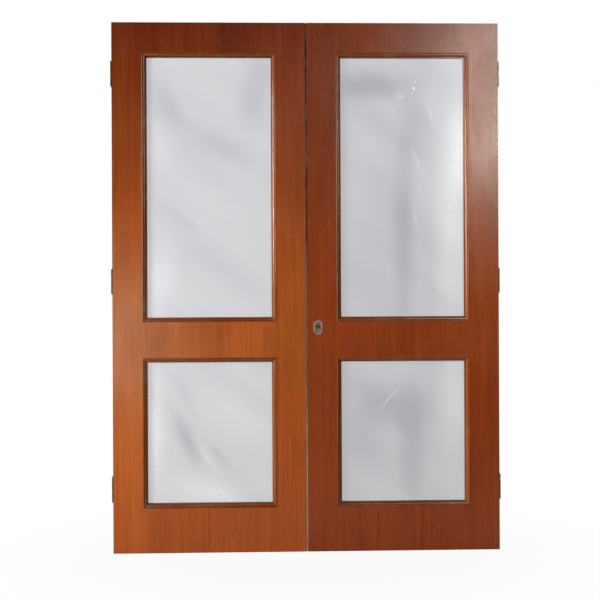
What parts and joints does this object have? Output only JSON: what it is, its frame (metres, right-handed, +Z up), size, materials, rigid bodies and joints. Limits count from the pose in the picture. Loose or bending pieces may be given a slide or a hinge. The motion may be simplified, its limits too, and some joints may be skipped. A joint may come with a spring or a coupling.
{
  "type": "french doors",
  "caption": "Pair of glazed veneered timber doors with tall upper and short lower panes, moulded beads, butt hinges, mortise lock and flush bolts.",
  "frame": {"origin": "bottom edge of the leaves, on the meeting line, in the middle of the leaves' thickness", "axes": "+Z up, +X to the right seen from the front, +Y from the front face to the back, the side the leaves open to"},
  "size_m": [1.55, 0.0557, 2.1],
  "materials": {
    "frame_timber": "planed softwood, hidden",
    "edge_lipping": "stained and varnished",
    "face_veneer": "red-brown stain, satin varnish",
    "glazing_bead": "red-brown stain, satin varnish",
    "pane_glass": "clear, a little dusty",
    "hinge_brass": "aged, satin",
    "edge_brass": "worn, satin",
    "aged_brass": "tarnished brown, rim rubbed bright",
    "brass_screw": "aged",
    "dark_bronze": "nearly black",
    "lock_steel": "plain sheet steel"
  },
  "bodies": {
    "jamb_hinges": {"left_bottom_hinge_jamb_plate": "hinge_brass", "left_middle_hinge_jamb_plate": "hinge_brass", "left_top_hinge_jamb_plate": "hinge_brass", "left_hinge_pins": "hinge_brass", "right_bottom_hinge_jamb_plate": "hinge_brass", "right_middle_hinge_jamb_plate": "hinge_brass", "right_top_hinge_jamb_plate": "hinge_brass", "right_hinge_pins": "hinge_brass"},
    "left_leaf": {"left_hinge_stile": "frame_timber", "left_meeting_stile": "frame_timber", "left_top_rail": "frame_timber", "left_lock_rail": "frame_timber", "left_bottom_rail": "frame_timber", "left_hinge_lipping": "edge_lipping", "left_meeting_lipping": "edge_lipping", "left_front_panel": "face_veneer", "left_back_panel": "face_veneer", "left_lower_glass": "pane_glass", "left_lower_front_beads": "glazing_bead", "left_lower_back_beads": "glazing_bead", "left_upper_glass": "pane_glass", "left_upper_front_beads": "glazing_bead", "left_upper_back_beads": "glazing_bead", "left_bottom_hinge_door_plate": "hinge_brass", "left_middle_hinge_door_plate": "hinge_brass", "left_top_hinge_door_plate": "hinge_brass", "left_hinge_screws": "brass_screw", "strike_plate": "edge_brass", "top_flush_bolt_plate": "edge_brass", "bottom_flush_bolt_plate": "edge_brass", "meeting_edge_screws": "brass_screw"},
    "right_leaf": {"right_hinge_stile": "frame_timber", "right_meeting_stile": "frame_timber", "right_top_rail": "frame_timber", "right_lock_rail": "frame_timber", "right_bottom_rail": "frame_timber", "right_hinge_lipping": "edge_lipping", "right_meeting_lipping": "edge_lipping", "right_front_panel": "face_veneer", "right_back_panel": "face_veneer", "right_lower_glass": "pane_glass", "right_lower_front_beads": "glazing_bead", "right_lower_back_beads": "glazing_bead", "right_upper_glass": "pane_glass", "right_upper_front_beads": "glazing_bead", "right_upper_back_beads": "glazing_bead", "right_bottom_hinge_door_plate": "hinge_brass", "right_middle_hinge_door_plate": "hinge_brass", "right_top_hinge_door_plate": "hinge_brass", "right_hinge_screws": "brass_screw", "lock_case": "lock_steel", "lock_faceplate": "edge_brass", "front_keyhole_plate": "aged_brass", "back_keyhole_plate": "aged_brass", "lock_screws": "brass_screw"},
    "key_plug": {"key_plug": "dark_bronze"},
    "dead_bolt": {"dead_bolt": "edge_brass"},
    "top_flush_bolt": {"top_flush_bolt": "edge_brass"},
    "bottom_flush_bolt": {"bottom_flush_bolt": "edge_brass"}
  },
  "joints": [
    {"name": "left_leaf_swing", "type": "hinge", "parent": "jamb_hinges", "child": "left_leaf", "pos_m": [-0.7695, 0.028, 0], "axis": [0, 0, 1], "range_deg": [0, 175]},
    {"name": "right_leaf_swing", "type": "hinge", "parent": "jamb_hinges", "child": "right_leaf", "pos_m": [0.7695, 0.028, 0], "axis": [0, 0, -1], "range_deg": [0, 175]},
    {"name": "key_turn", "type": "hinge", "parent": "right_leaf", "child": "key_plug", "pos_m": [0.045, 0, 0.894], "axis": [0, -1, 0], "range_deg": [0, 180]},
    {"name": "bolt_throw", "type": "slide", "parent": "right_leaf", "child": "dead_bolt", "axis": [-1, 0, 0], "range_m": [0, 0.02]},
    {"name": "top_bolt_slide", "type": "slide", "parent": "left_leaf", "child": "top_flush_bolt", "axis": [0, 0, 1], "range_m": [0, 0.015]},
    {"name": "bottom_bolt_slide", "type": "slide", "parent": "left_leaf", "child": "bottom_flush_bolt", "axis": [0, 0, -1], "range_m": [0, 0.015]}
  ],
  "couplings": [
    {"joint": "key_turn", "follows": "bolt_throw", "rad_per_m": 157.07}
  ]
}
